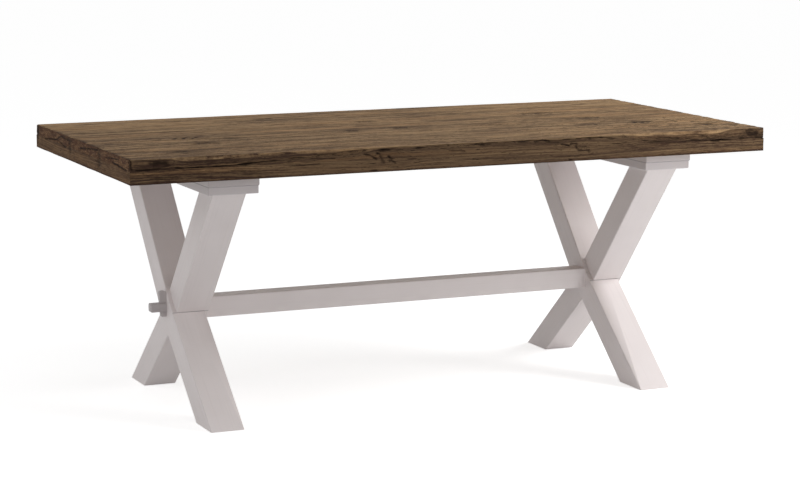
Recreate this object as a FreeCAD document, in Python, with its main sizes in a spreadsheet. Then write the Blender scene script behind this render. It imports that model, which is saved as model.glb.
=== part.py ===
import FreeCAD, Part
import os
import re
import Sketcher

# Sawbuck table: a thick oak top on two painted X frames, tied by one stretcher with a tusk tenon.
# X runs along the table, Y from the front edge to the back edge, and Z up from the floor.
# The origin is on the floor under the middle of the top. Lengths are in millimetres.

SIZES = {
    # the top
    "table_height": 760,
    "top_length": 1900,
    "top_width": 920,
    "plank_thickness": 30,
    "strip_thickness": 37,
    "strip_width": 95,
    "top_easing": 2.5,
    "spline_thickness": 8,
    "spline_width": 20,
    "spline_stop": 60,
    "spline_clearance": 0.2,
    "batten_margin": 13,
    # the boards that join an X frame to the top
    "board_overhang": 5,
    "board_reveal": 1,
    "board_thickness": 24.5,
    "rail_overhang": 19.5,
    "rail_width": 142,
    "rail_thickness": 22.5,
    "rail_shift": 10,
    "board_easing": 1.5,
    # the X frames
    "frame_inset": 292.5,
    "side_overhang": 78.5,
    "leg_width": 82.5,
    "leg_thickness": 96,
    "leg_step": 12,
    "crossing_height": 267,
    "leg_easing": 2,
    "leg_tenon_length": 64,
    "leg_tenon_thickness": 40,
    "leg_tenon_end_gap": 0.5,
    "leg_tenon_clearance": 0.2,
    # the stretcher and its tusk tenon
    "stretcher_width": 60,
    "stretcher_height": 59,
    "stretcher_rise": 8.5,
    "stretcher_easing": 2,
    "tenon_size": 24,
    "tenon_rise": 4.5,
    "tenon_reach": 48,
    "tenon_bevel": 3,
    "tenon_clearance": 0.2,
    "stub_end_gap": 2,
    "wedge_top_width": 21,
    "wedge_foot_width": 15,
    "wedge_thickness": 15,
    "wedge_above": 34,
    "wedge_below": 15,
    "wedge_crown": 7,
    "wedge_foot_round": 3,
    "wedge_clearance": 0.15,
    "wedge_slot_depth": 3,
    # the screws
    "screw_diameter": 6,
    "screw_head": 12,
    "screw_head_depth": 3.5,
    "screw_point": 6,
    "screw_clearance": 0.1,
    "screw_length": 78,
    "screw_gauge": 92,
    "screw_row": 150,
    # how far a cutter runs past the face that it cuts
    "overrun": 5,
}

# Places of the plank edges across the top, from the front edge to the back edge.
plank_seam_shares = (0, 0.19, 0.41, 0.60, 0.80, 1)

STRIP_FLOOR = "(table_height - plank_thickness - strip_thickness)"
BOARD_FLOOR = f"({STRIP_FLOOR} - board_thickness)"
RAIL_FLOOR = f"({BOARD_FLOOR} - rail_thickness)"
FRAME_DEPTH = "(leg_thickness + leg_step)"
LAP_DEPTH = "((leg_thickness + leg_step) / 2)"
FRAME_SPACING = "(top_length - 2 * frame_inset)"
HALF_SPREAD = "(top_width / 2 - side_overhang)"
RAIL_LENGTH = f"(2 * {HALF_SPREAD} + 2 * rail_overhang)"
BOARD_LENGTH = f"({RAIL_LENGTH} + 2 * board_overhang)"
BOARD_WIDTH = "(rail_width + 2 * board_reveal)"
BATTEN_WIDTH = f"({BOARD_WIDTH} + 2 * batten_margin)"
STRETCHER_AXIS = "(crossing_height + stretcher_rise)"
TENON_AXIS = f"({STRETCHER_AXIS} + tenon_rise)"
WEDGE_FLOOR = f"({TENON_AXIS} - tenon_size / 2 - wedge_below)"
WEDGE_TOP = f"({TENON_AXIS} + tenon_size / 2 + wedge_above)"
LEFT_FACE = f"(-{FRAME_SPACING} / 2 - {LAP_DEPTH})"
SIDES = {"left": f"(-{FRAME_SPACING} / 2)", "right": f"({FRAME_SPACING} / 2)"}

doc = FreeCAD.newDocument("SawbuckTable")
sheet = doc.addObject("Spreadsheet::Sheet", "Sizes")
for row, (alias, number) in enumerate(SIZES.items(), start=1):
    sheet.set(f"A{row}", alias)
    sheet.set(f"B{row}", str(number))
    sheet.setAlias(f"B{row}", alias)
doc.recompute()

pieces = []


def tied(formula):
    """The formula with each size written as a reference to its cell."""
    return re.sub(r"\b(" + "|".join(SIZES) + r")\b", r"Sizes.\1", formula)


def size(formula):
    """What the formula comes to, as a plain number."""
    answer = sheet.evalExpression(tied(formula))
    return float(getattr(answer, "Value", answer))


def bind(thing, prop, formula):
    thing.setExpression(prop, tied(formula))


def keep(thing, label):
    """Take an object as one piece of the table, under its own name."""
    thing.Label = label
    pieces.append(thing)
    return thing


def new_body(name, x="0", y="0", z="0"):
    body = doc.addObject("PartDesign::Body", name)
    bind(body, "Placement.Base.x", x)
    bind(body, "Placement.Base.y", y)
    bind(body, "Placement.Base.z", z)
    return body


def new_sketch(body, role, level="0"):
    """A sketch on one of the body's own planes, moved along the plane's normal by level."""
    sketch = body.newObject("Sketcher::SketchObject", body.Name + "Sketch")
    plane = next(feature for feature in body.Origin.OriginFeatures if feature.Role == role)
    sketch.AttachmentSupport = [(plane, "")]
    sketch.MapMode = "FlatFace"
    bind(sketch, "AttachmentOffset.Base.z", level)
    return sketch


def outline(sketch, corners):
    """A closed run of straight lines, each corner tied to its two formulas."""
    first = sketch.GeometryCount
    points = [FreeCAD.Vector(size(across), size(up), 0) for across, up in corners]
    for start, end in zip(points, points[1:] + points[:1]):
        sketch.addGeometry(Part.LineSegment(start, end), False)
    for number, (across, up) in enumerate(corners):
        line = first + number
        following = first + (number + 1) % len(corners)
        sketch.addConstraint(Sketcher.Constraint("Coincident", line, 2, following, 1))
        for kind, formula in (("DistanceX", across), ("DistanceY", up)):
            rule = sketch.addConstraint(Sketcher.Constraint(kind, -1, 1, line, 1, size(formula)))
            bind(sketch, f"Constraints[{rule}]", formula)


def rectangle(sketch, left, bottom, right, top):
    outline(sketch, [(left, bottom), (right, bottom), (right, top), (left, top)])


def pad(body, sketch, length, backward=False):
    feature = body.newObject("PartDesign::Pad", body.Name + "Pad")
    feature.Profile = sketch
    bind(feature, "Length", length)
    feature.Reversed = backward
    doc.recompute()
    return feature


def pocket(body, sketch, length, forward=False):
    """Cut the sketch out of the body: against the sketch's normal, or along it if forward."""
    before = body.Shape.Volume
    feature = body.newObject("PartDesign::Pocket", body.Name + "Pocket")
    feature.Profile = sketch
    bind(feature, "Length", length)
    feature.Reversed = forward
    doc.recompute()
    if not body.Shape.Volume < before:
        raise RuntimeError(f"a cut in {body.Name} takes nothing away")
    return feature


def ease(body, amount, chosen, bevel=False):
    """Round the straight edges of the body that chosen(start, end) picks, or bevel them."""
    names = []
    for number, edge in enumerate(body.Tip.Shape.Edges, start=1):
        if len(edge.Vertexes) == 2 and chosen(edge.Vertexes[0].Point, edge.Vertexes[1].Point):
            names.append(f"Edge{number}")
    if not names:
        raise RuntimeError(f"no edge to ease on {body.Name}")
    base = body.Tip
    kind = "Chamfer" if bevel else "Fillet"
    feature = body.newObject(f"PartDesign::{kind}", body.Name + kind)
    feature.Base = (base, names)
    bind(feature, "Size" if bevel else "Radius", amount)
    doc.recompute()
    return feature


def same(first, second):
    """True where two places along an axis are one, within the modeller's own precision."""
    return abs(first - second) <= FreeCAD.Base.Precision.confusion()


def at(value, start, end, axis):
    """True where both ends of an edge lie at this value along the axis."""
    return same(start[axis], value) and same(end[axis], value)


def seam(share):
    """How far back a plank edge lies, as a formula."""
    return f"(top_width * {share} - top_width / 2)"


def add_plank(number):
    """One lengthwise plank, with stopped grooves in its joined edges and a rounded outer arris."""
    front = seam(plank_seam_shares[number - 1])
    back = seam(plank_seam_shares[number])
    floor = "(table_height - plank_thickness)"
    middle = "(table_height - plank_thickness / 2)"
    body = new_body(f"Plank{number}", x="-top_length / 2")
    section = new_sketch(body, "YZ_Plane")
    rectangle(section, front, floor, back, "table_height")
    pad(body, section, "top_length")
    outer = {"x": (0, size("top_length")), "y": (-size("top_width") / 2, size("top_width") / 2)}

    def on_rim(start, end):
        ends = any(at(value, start, end, 0) for value in outer["x"])
        sides = any(at(value, start, end, 1) for value in outer["y"])
        return at(size("table_height"), start, end, 2) and (ends or sides)

    ease(body, "top_easing", on_rim)
    groove = "(spline_width / 2 + spline_clearance)"
    low = f"({middle} - spline_thickness / 2 - spline_clearance)"
    high = f"({middle} + spline_thickness / 2 + spline_clearance)"
    grooves = new_sketch(body, "YZ_Plane", "spline_stop - spline_clearance")
    if number > 1:
        rectangle(grooves, front, low, f"({front} + {groove})", high)
    if number < len(plank_seam_shares) - 1:
        rectangle(grooves, f"({back} - {groove})", low, back, high)
    pocket(body, grooves, "top_length - 2 * spline_stop + 2 * spline_clearance", forward=True)
    keep(body, f"top_plank_{number}")


def add_box(name, length, width, height, x, y, z):
    """A plain block, placed by its lowest corner."""
    box = doc.addObject("Part::Box", name)
    for prop, formula in (("Length", length), ("Width", width), ("Height", height)):
        bind(box, prop, formula)
    for prop, formula in (("x", x), ("y", y), ("z", z)):
        bind(box, f"Placement.Base.{prop}", formula)
    return box


def add_splines():
    """The loose tongues between the planks, as one group."""
    tongues = []
    for share in plank_seam_shares[1:-1]:
        tongue = add_box(
            "Spline", "top_length - 2 * spline_stop", "spline_width", "spline_thickness",
            "spline_stop - top_length / 2",
            f"{seam(share)} - spline_width / 2",
            "table_height - plank_thickness / 2 - spline_thickness / 2")
        tongues.append(tongue)
    group = doc.addObject("Part::Compound", "Splines")
    group.Links = tongues
    keep(group, "plank_splines")


def add_edge_strips():
    """The thickened edge: four strips under the planks, mitred at the corners."""
    far_x = "(top_length / 2)"
    far_y = "(top_width / 2)"
    near_x = "(top_length / 2 - strip_width)"
    near_y = "(top_width / 2 - strip_width)"
    long_strip = ((f"-{far_x}", far_y), (far_x, far_y), (near_x, near_y), (f"-{near_x}", near_y))
    short_strip = ((far_x, f"-{far_y}"), (far_x, far_y), (near_x, near_y), (near_x, f"-{near_y}"))
    strips = {
        "back": long_strip,
        "front": [(across, f"-{up}") for across, up in long_strip],
        "right": short_strip,
        "left": [(f"-({across})", up) for across, up in short_strip],
    }
    for side, corners in strips.items():
        body = new_body(f"EdgeStrip{side.title()}", z=STRIP_FLOOR)
        plan = new_sketch(body, "XY_Plane")
        outline(plan, corners)
        pad(body, plan, "strip_thickness")
        axis = 1 if side in ("front", "back") else 0
        rim = size(far_y if axis else far_x)

        def outer_foot(start, end):
            return at(0, start, end, 2) and (at(rim, start, end, axis) or at(-rim, start, end, axis))

        ease(body, "top_easing", outer_foot)
        keep(body, f"edge_strip_{side}")


def turned_screw(name, grown="0", headroom="0"):
    """A countersunk screw that points up from the origin, or the space that it needs."""
    body = new_body(name)
    half = new_sketch(body, "XZ_Plane")
    shank = f"(screw_diameter / 2 + {grown})"
    head = f"(screw_head / 2 + {grown})"
    corners = [("0", f"-{headroom}"), (head, f"-{headroom}")]
    if headroom != "0":
        corners.append((head, "0"))
    corners += [
        (shank, "screw_head_depth"),
        (shank, f"screw_length - screw_point + {grown}"),
        ("0", f"screw_length + {grown}"),
    ]
    outline(half, corners)
    turning = body.newObject("PartDesign::Revolution", name + "Turning")
    turning.Profile = half
    turning.ReferenceAxis = (half, ["V_Axis"])
    turning.Angle = 360
    doc.recompute()
    return body.Shape.copy()


def spread(name, shape, places):
    """One object that holds a copy of the shape at each place."""
    copies = []
    for place in places:
        copy = shape.copy()
        copy.Placement.Base = FreeCAD.Vector(*place)
        copies.append(copy)
    group = doc.addObject("Part::Feature", name)
    group.Shape = Part.makeCompound(copies)
    return group


def drilled(body, cutters, label):
    """The body with a group of cutters taken out, as one piece."""
    cut = doc.addObject("Part::Cut", body.Name + "Drilled")
    cut.Base = body
    cut.Tool = cutters
    doc.recompute()
    return keep(cut, label)


def leg_slope(height):
    """The angle from the floor at which a leg half climbs the height over half the spread.

    The outer side of the half runs to the edge of the spread, and its middle to the crossing.
    """
    diagonal = f"sqrt({HALF_SPREAD} ^ 2 + ({height}) ^ 2)"
    return f"(atan(({height}) / {HALF_SPREAD}) + asin(leg_width / 2 / {diagonal}))"


LOWER_SLOPE = leg_slope("crossing_height")
UPPER_SLOPE = leg_slope(f"{RAIL_FLOOR} - crossing_height")
LEG_TOP_MIDDLE = f"({HALF_SPREAD} - leg_width / 2 / sin({UPPER_SLOPE}))"


def leg_corners(turned):
    """The outline of one leg, seen along X: a bent bar cut level at the floor and under the rail.

    The foot stands at the front and the top leans to the back, or the other way if turned.
    Both halves keep the same width, so the two sides meet on the bisector of the bend.
    """
    sign = "-1" if turned else "1"
    mitre = f"leg_width / 2 / cos(({UPPER_SLOPE} - {LOWER_SLOPE}) / 2)"
    across = f"{mitre} * sin(({UPPER_SLOPE} + {LOWER_SLOPE}) / 2)"
    along = f"{mitre} * cos(({UPPER_SLOPE} + {LOWER_SLOPE}) / 2)"
    shape = [
        (f"-{HALF_SPREAD}", "0"),
        (f"leg_width / sin({LOWER_SLOPE}) - {HALF_SPREAD}", "0"),
        (across, f"crossing_height - {along}"),
        (HALF_SPREAD, RAIL_FLOOR),
        (f"{HALF_SPREAD} - leg_width / sin({UPPER_SLOPE})", RAIL_FLOOR),
        (f"-({across})", f"crossing_height + {along}"),
    ]
    return [(f"{sign} * ({y})", z) for y, z in shape]


def leg_tenon(x, turned, room="0"):
    """The plan of the tenon on a leg's top, centred on x, or of its mortise with room around it."""
    middle = f"{'-1' if turned else '1'} * {LEG_TOP_MIDDLE}"
    half_x = f"(leg_tenon_thickness / 2 + {room})"
    half_y = f"(leg_tenon_length / 2 + {room})"
    return f"{x} - {half_x}", f"{middle} - {half_y}", f"{x} + {half_x}", f"{middle} + {half_y}"


def add_leg(side, turned, mortised):
    """One leg of an X frame, half lapped into its partner and tenoned into the rail above.

    The leg with the front foot keeps its left half in the lap, and stands proud on the left by
    the step. The leg with the back foot keeps its right half.
    """
    face = f"({SIDES[side]} - {LAP_DEPTH} + {'leg_step' if turned else '0'})"
    lap_plane = f"({LAP_DEPTH} - {'leg_step' if turned else '0'})"
    body = new_body(f"Leg{side.title()}{'Back' if turned else 'Front'}", x=face)
    shape = new_sketch(body, "YZ_Plane")
    outline(shape, leg_corners(turned))
    pad(body, shape, "leg_thickness")

    def along_leg(start, end):
        return not same(start[1], end[1]) and not same(start[2], end[2])

    ease(body, "leg_easing", along_leg, bevel=True)
    tenon = new_sketch(body, "XY_Plane", RAIL_FLOOR)
    rectangle(tenon, *leg_tenon("leg_thickness / 2", turned))
    pad(body, tenon, "rail_thickness - leg_tenon_end_gap")
    lap = new_sketch(body, "YZ_Plane", lap_plane)
    outline(lap, leg_corners(not turned))
    depth = f"{lap_plane} + overrun" if turned else f"leg_thickness - {lap_plane} + overrun"
    pocket(body, lap, depth, forward=not turned)
    if mortised:
        mortise = new_sketch(body, "YZ_Plane", "-overrun")
        half = "(tenon_size / 2 + tenon_clearance)"
        rectangle(mortise, f"-{half}", f"{TENON_AXIS} - {half}", half, f"{TENON_AXIS} + {half}")
        pocket(body, mortise, "leg_thickness + 2 * overrun", forward=True)
    keep(body, f"{side}_{'back' if turned else 'front'}_leg")


def add_board(name, side, length, width, thickness, floor):
    """A flat board across the table, over one X frame, with its lower rim and corners eased."""
    body = new_body(name, x=f"{SIDES[side]} + rail_shift", z=floor)
    plan = new_sketch(body, "XY_Plane")
    rectangle(plan, f"-{width} / 2", f"-{length} / 2", f"{width} / 2", f"{length} / 2")
    pad(body, plan, thickness)
    top = size(thickness)
    ease(body, "board_easing", lambda start, end: not at(top, start, end, 2), bevel=True)
    return body


def add_rail(side):
    """The lower board, with a mortise through it for each leg's tenon."""
    body = add_board(f"Rail{side.title()}", side, RAIL_LENGTH, "rail_width", "rail_thickness", RAIL_FLOOR)
    mortises = new_sketch(body, "XY_Plane", "-overrun")
    rectangle(mortises, *leg_tenon("-rail_shift - leg_step / 2", False, "leg_tenon_clearance"))
    rectangle(mortises, *leg_tenon("leg_step / 2 - rail_shift", True, "leg_tenon_clearance"))
    pocket(body, mortises, "rail_thickness + 2 * overrun", forward=True)
    return body


def add_frame(side):
    """One X frame with its rail, top board, batten and screws."""
    title = side.title()
    middle = size(f"{SIDES[side]} + rail_shift")
    row = size("screw_row")
    gauge = size("screw_gauge") / 2
    floor = size(RAIL_FLOOR)
    places = [(middle + step, y, floor) for y in (-row, row) for step in (-gauge, gauge)]
    cutters = spread(f"ScrewSpaces{title}", screw_space, places)
    add_leg(side, turned=False, mortised=True)
    add_leg(side, turned=True, mortised=side == "left")
    drilled(add_rail(side), cutters, f"{side}_rail")
    board = add_board(f"Board{title}", side, BOARD_LENGTH, BOARD_WIDTH, "board_thickness", BOARD_FLOOR)
    drilled(board, cutters, f"{side}_top_board")
    batten = add_box(
        f"Batten{title}", BATTEN_WIDTH, "top_width - 2 * strip_width", "strip_thickness",
        f"{SIDES[side]} + rail_shift - {BATTEN_WIDTH} / 2", "strip_width - top_width / 2", STRIP_FLOOR)
    drilled(batten, cutters, f"{side}_batten")
    keep(spread(f"Screws{title}", screw, places), f"{side}_top_screws")


def add_stretcher():
    """The bar between the frames: a slotted through tenon on the left, a hidden stub on the right."""
    span = f"({FRAME_SPACING} - {FRAME_DEPTH})"
    body = new_body("Stretcher", x=f"{LEFT_FACE} + {FRAME_DEPTH}")
    section = new_sketch(body, "YZ_Plane")
    half_width = "(stretcher_width / 2)"
    half_height = "(stretcher_height / 2)"
    rectangle(
        section, f"-{half_width}", f"{STRETCHER_AXIS} - {half_height}",
        half_width, f"{STRETCHER_AXIS} + {half_height}")
    pad(body, section, span)
    ease(body, "stretcher_easing", lambda start, end: not same(start[0], end[0]), bevel=True)
    half = "(tenon_size / 2)"
    corners = (f"-{half}", f"{TENON_AXIS} - {half}", half, f"{TENON_AXIS} + {half}")
    tenon = new_sketch(body, "YZ_Plane")
    rectangle(tenon, *corners)
    pad(body, tenon, f"{FRAME_DEPTH} + tenon_reach", backward=True)
    stub = new_sketch(body, "YZ_Plane")
    rectangle(stub, *corners)
    pad(body, stub, f"{span} + {LAP_DEPTH} - stub_end_gap")
    tenon_end = -size(f"{FRAME_DEPTH} + tenon_reach")
    ease(body, "tenon_bevel", lambda start, end: at(tenon_end, start, end, 0), bevel=True)
    slot_half = "(wedge_thickness / 2 + wedge_clearance)"
    slot = new_sketch(body, "XZ_Plane", slot_half)
    face = f"-{FRAME_DEPTH}"
    outline(slot, [
        (f"{face} + wedge_slot_depth", WEDGE_FLOOR),
        (f"{face} + wedge_slot_depth", WEDGE_TOP),
        (f"{face} - wedge_top_width - 2 * wedge_clearance", WEDGE_TOP),
        (f"{face} - wedge_foot_width - 2 * wedge_clearance", WEDGE_FLOOR),
    ])
    pocket(body, slot, f"2 * {slot_half}")
    keep(body, "stretcher")


def add_wedge():
    """The tusk: a key that is upright against the leg and tapers on its outer side."""
    body = new_body("Wedge", x=f"{LEFT_FACE} - wedge_clearance")
    profile = new_sketch(body, "XZ_Plane", "-wedge_thickness / 2")
    outline(profile, [
        ("0", WEDGE_FLOOR),
        ("0", WEDGE_TOP),
        ("-wedge_top_width", WEDGE_TOP),
        ("-wedge_foot_width", WEDGE_FLOOR),
    ])
    pad(body, profile, "wedge_thickness")
    for radius, level in (("wedge_crown", WEDGE_TOP), ("wedge_foot_round", WEDGE_FLOOR)):
        height = size(level)

        def across_end(start, end):
            return at(height, start, end, 2) and same(start[0], end[0])

        ease(body, radius, across_end)
    keep(body, "tusk_wedge")


for plank_number in range(1, len(plank_seam_shares)):
    add_plank(plank_number)
add_splines()
add_edge_strips()
screw = turned_screw("Screw")
screw_space = turned_screw("ScrewSpace", "screw_clearance", "overrun")
for frame_side in SIDES:
    add_frame(frame_side)
add_stretcher()
add_wedge()

doc.recompute()
for thing in doc.Objects:
    if "Invalid" in thing.State or "Error" in thing.State:
        raise RuntimeError(f"{thing.Label} failed: {thing.State}")
for piece in pieces:
    if piece.Shape.isNull() or not piece.Shape.isValid():
        raise RuntimeError(f"{piece.Label} has no valid shape")
os.makedirs("parts", exist_ok=True)
for piece in pieces:
    piece.Shape.exportStep(f"parts/{piece.Label}.step")
    print(f"{piece.Label}: {len(piece.Shape.Solids)} solids, {piece.Shape.Volume / 1000:.1f} cm3")
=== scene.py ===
import math
from functools import partial
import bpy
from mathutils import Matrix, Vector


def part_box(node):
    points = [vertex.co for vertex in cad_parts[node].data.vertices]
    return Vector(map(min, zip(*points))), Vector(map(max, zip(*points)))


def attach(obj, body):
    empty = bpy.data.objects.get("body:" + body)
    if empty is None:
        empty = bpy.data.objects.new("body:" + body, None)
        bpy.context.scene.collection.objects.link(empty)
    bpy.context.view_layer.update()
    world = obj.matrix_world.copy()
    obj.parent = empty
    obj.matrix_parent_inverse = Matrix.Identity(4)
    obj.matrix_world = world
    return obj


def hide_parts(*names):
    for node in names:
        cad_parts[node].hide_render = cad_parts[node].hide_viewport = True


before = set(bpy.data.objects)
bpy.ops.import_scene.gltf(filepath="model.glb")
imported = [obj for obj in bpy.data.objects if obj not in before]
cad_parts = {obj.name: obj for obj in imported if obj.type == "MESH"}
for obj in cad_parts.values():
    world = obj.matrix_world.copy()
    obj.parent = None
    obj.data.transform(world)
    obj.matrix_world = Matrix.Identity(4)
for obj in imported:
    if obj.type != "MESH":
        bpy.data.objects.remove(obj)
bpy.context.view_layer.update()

from types import SimpleNamespace

import bpy
import numpy as np
from bpy.props import FloatProperty, FloatVectorProperty, PointerProperty
from mathutils import Vector

bl_info = {
    "name": "Sawbuck table",
    "version": (1, 0, 0),
    "blender": (4, 5, 0),
    "location": "View3D > Sidebar > Table",
    "description": "Dresses a packed sawbuck table: weathered oak top, white painted X frames",
    "category": "Object",
}

PLANKS = [f"top_plank_{number}" for number in range(1, 6)]
SIDES = ("front", "back", "left", "right")
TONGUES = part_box("plank_splines")
TOP_LOW = Vector(map(min, *(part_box(name)[0] for name in PLANKS)))
TOP_HIGH = Vector(map(max, *(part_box(name)[1] for name in PLANKS)))

# Lengths in the oak's surfaces, in metres. Steps are those along, across and up a piece.
TOUCH = 0.000001  # a point this near to a face lies on it
GROOVE_WALL = 0.00005  # how far the foot of a groove's wall stands out from its head
WANE_STRIP = 0.012  # how far back from the front edge its wood may be wane
RIM = 0.004  # how far the finest steps reach in from the upper and lower faces
PLANK_STEPS = (0.0055, 0.0036, 0.0022)
FRONT_STEPS = (0.0036, 0.0045, 0.0014)
STRIP_STEPS = (0.0055, 0.009, 0.004)
MARKED_STEP = 0.0016  # up the front and left strips, which carry drawn marks
PITHS = (0.02, -0.05, 0.03, -0.03, 0.05)  # how far behind its middle the pith of each plank lies

WANE_ROWS = 8  # rows of points across the wane strip
WANE_SLOPE = 0.22  # how far the wane runs back on the face, as a share of its depth
MERGE_STEPS = 1e7  # points that fall on the same of so many steps to the metre are one
PLANK_STAINS = (0.10, -0.08, 0.12, -0.05, 0.06)  # how much deeper each plank is stained
MEAN_RUBBED = 0.6  # the share of the stain that is rubbed off the face, on the whole
WOOD_TRAITS = ("ring", "mark", "near", "split", "contrast", "lift", "end")

# Seeds of the noises. Planks and strips count on from theirs.
SEED = SimpleNamespace(
    plank=20, brushed=30, strip=31, wander=41, gape=43, sawn=50, edge_strokes=61, end_strokes=62,
    face_strokes=63, end_stain=64, edge_stain_and_painted_shade=66, arris=70, broken=75, notched=76, knots=81, foot=90)

# What scrambles the lattice corners of the noise into random values.
HASH_PRIMES = np.array([374761393, 668265263, 2147483647])
SEED_PRIME = 1274126177
HASH_ROUNDS = ((13, 1103515245), (16, 69069))
HASH_TOP = 0x7FFFFFFF

# Sockets of a Mix node: the share of the second, and the two that it mixes, for vectors and for colours.
SHARE = 0
FIRST_VECTOR, SECOND_VECTOR = 4, 5
FIRST, SECOND = 6, 7
VECTORS = {"data_type": "VECTOR", "out": 1}
COLOURS = {"data_type": "RGBA", "out": 2}
# A Map Range takes its value, the two ends that it comes from and the two that it goes to.
SMOOTH = {"interpolation_type": "SMOOTHSTEP"}

WHITE = (1, 1, 1, 1)
WELD_REACH = 0.00001  # corners of a CAD mesh this near are joined before its edges are rounded, in metres
SHARP = math.radians(30)  # edges sharper than this are rounded
FLOOR_REACH = 40  # from the middle of the floor to its sides, in metres
FRAME_WIDTH = 36  # of the camera, in millimetres
FAR = 200  # how far the camera sees, in metres
# The soft lamps: name, width, place, and the point they shine at. The settings hold their power.
LAMPS = (
    ("key", 1.5, (2.8, -1.2, 2.0), (0.4, 0.0, 0.4)),
    ("low fill", 1.2, (2.0, -1.8, 0.9), (0.6, -0.3, 0.35)),
    ("left fill", 1.5, (-3.0, -0.5, 1.2), (-0.4, 0.0, 0.4)),
)


def linear(code):
    """An sRGB hex colour as three linear parts."""
    parts = [int(code[at:at + 2], 16) / 255 for at in (1, 3, 5)]
    return tuple(part / 12.92 if part <= 0.04045 else ((part + 0.055) / 1.055) ** 2.4 for part in parts)


def amount(name, description, default, **kind):
    """A number that the user may change, with its unit or subtype."""
    return FloatProperty(name=name, description=description, default=default, **kind)


def length(name, description, millimetres):
    """A size that the user may change, given in millimetres and held in metres."""
    return amount(name, description, millimetres / 1000, unit="LENGTH")


def colour(name, description, code):
    """A colour that the user may change, given as sRGB hex and held as linear, with an alpha of 1."""
    return FloatVectorProperty(
        name=name, description=description, default=linear(code) + (1.0,), size=4,
        subtype="COLOR", min=0, max=1)


def wood_size(name, description, *millimetres):
    """The size of one mark in the wood along the grain, across the face and through the thickness."""
    return FloatVectorProperty(
        name=name, description=description, default=[size / 1000 for size in millimetres], size=3,
        subtype="XYZ", unit="LENGTH")


class OakTopSettings(bpy.types.PropertyGroup):
    arris: length("Arris", "Radius of the rubbed edge round the top", 2.2)
    ragged_arris: length("Ragged arris", "Radius of the broken edge over the end grain", 4.5)
    seam: length("Seam", "Radius of the planks' long edges, where they meet", 0.7)
    relief: length("Relief", "Depth of the hollows that brushing leaves in the face", 0.9)
    pit: length("Pit", "Depth of the knots and strokes", 1.6)
    saw: length("Saw marks", "Depth of the saw's marks in the end grain", 1.2)
    split_width: length("Split width", "Half width of the long split in the front edge", 1.9)
    split_depth: length("Split depth", "Depth of the long split in the front edge", 6.0)
    tongue_room: length("Tongue room", "Gap round the loose tongues in their grooves", 0.2)
    ring_width: length("Ring width", "Spacing of the year rings", 7.0)
    band: wood_size("Band", "Length, width and thickness of the broad bands of stain", 900, 70, 24)
    streak: wood_size("Streak", "Length, width and thickness of the streaks in the bands", 400, 26, 3.4)
    fibre: wood_size("Fibre", "Length, width and thickness of the brushed fibres", 120, 8, 2.0)
    line: wood_size("Line", "Length, width and thickness of the thin dark lines", 300, 13, 2.5)
    dash: wood_size("Dash", "Length, width and thickness of the short dark checks", 28, 15, 3.0)
    pale: colour("Pale oak", "Raised fibres, rubbed pale", "#ae8f6a")
    dark: colour("Dark oak", "The stain in the hollows", "#3c2b22")
    warm: colour("Warm oak", "Patches where the stain is redder", "#8d6647")
    end: colour("End grain", "The stain in the end grain", "#6d4a35")
    knot: colour("Knot", "The hearts of the knots", "#22160e")
    split: colour("Split", "The inside of splits and checks", "#1d130c")


class PaintSettings(bpy.types.PropertyGroup):
    white: colour("White", "The paint on the frames", "#e9e1e0")
    grey: colour("Grey", "The paint where it has sunk into the grain", "#d9d0ce")
    # The boards' greyer white is painted shade: the top overhangs the boards and shades them.
    boards_painted_shade: colour("Shaded", "The paint on the boards, greyed under the top", "#d4cdce")
    # This darker grey is painted shade on the tenon and the tusk.
    rubbed: colour("Rubbed", "The paint on the tenon and the tusk, rubbed by hands", "#bbb4b4")
    # The grey of the joint lines is painted shade and dust where two painted pieces meet.
    joint: colour("Joint", "The dust in the joints between painted pieces", "#7d7577")
    joint_width: length("Joint width", "Half width of a joint's line, drawn wide enough to show", 2.2)
    grain_width: length("Grain width", "Width of the grain that shows through the paint", 5.0)
    grain_length: length("Grain length", "Length of the grain that shows through the paint", 220.0)
    softness: length("Softness", "How far the paint rounds an edge", 0.8)
    leg_width: length("Leg width", "Width of a leg across its grain", 82.5)
    bend_height: length("Bend height", "Height of the bend in the legs, where they cross", 267)


class BareSettings(bpy.types.PropertyGroup):
    pine: colour("Pine", "The planed battens under the top", "#c29a6b")
    pine_dark: colour("Pine rings", "The late wood of the battens", "#9a6c3f")
    pine_ring: length("Pine ring", "Spacing of the rings in the battens", 7.0)
    pine_length: length("Pine length", "Length of the rings' lines along a batten", 350)
    zinc: colour("Zinc", "The plating of the screws", "#b9babb")


class StageSettings(bpy.types.PropertyGroup):
    floor: colour("Floor", "The plain pale floor", "#ececec")
    floor_seen: amount("Floor seen", "How pale the floor is where it is seen directly", 0.8)
    floor_glow: amount("Floor glow", "Strength of the floor's own light where it is seen directly", 0.62)
    camera_place: FloatVectorProperty(
        name="Camera place", description="Where the camera stands", size=3, subtype="TRANSLATION",
        default=(-2.7541, -6.3598, 1.5282))
    camera_yaw: amount(
        "Camera yaw", "Turn of the camera to the right of straight ahead", math.radians(23.468),
        subtype="ANGLE")
    camera_pitch: amount(
        "Camera pitch", "Tilt of the camera below the horizon", math.radians(9.081), subtype="ANGLE")
    lens: amount("Lens", "Focal length on a frame 36 mm wide", 108.12, unit="CAMERA")
    ambient: amount("Ambient", "Strength of the even light from all round", 0.46)
    key: amount("Key", "Power of the soft lamp high at the right", 61, unit="POWER")
    low_fill: amount("Low fill", "Power of the soft lamp low at the front right", 10, unit="POWER")
    left_fill: amount("Left fill", "Power of the soft lamp at the left", 8, unit="POWER")


class TableLooks(bpy.types.PropertyGroup):
    oak: PointerProperty(type=OakTopSettings, name="Oak top", description="Sizes and colours of the top")
    paint: PointerProperty(type=PaintSettings, name="Paint", description="Sizes and colours of the frames")
    bare: PointerProperty(type=BareSettings, name="Bare parts", description="Battens, tongues and screws")
    stage: PointerProperty(type=StageSettings, name="Stage", description="Floor, lamps and camera")


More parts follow.
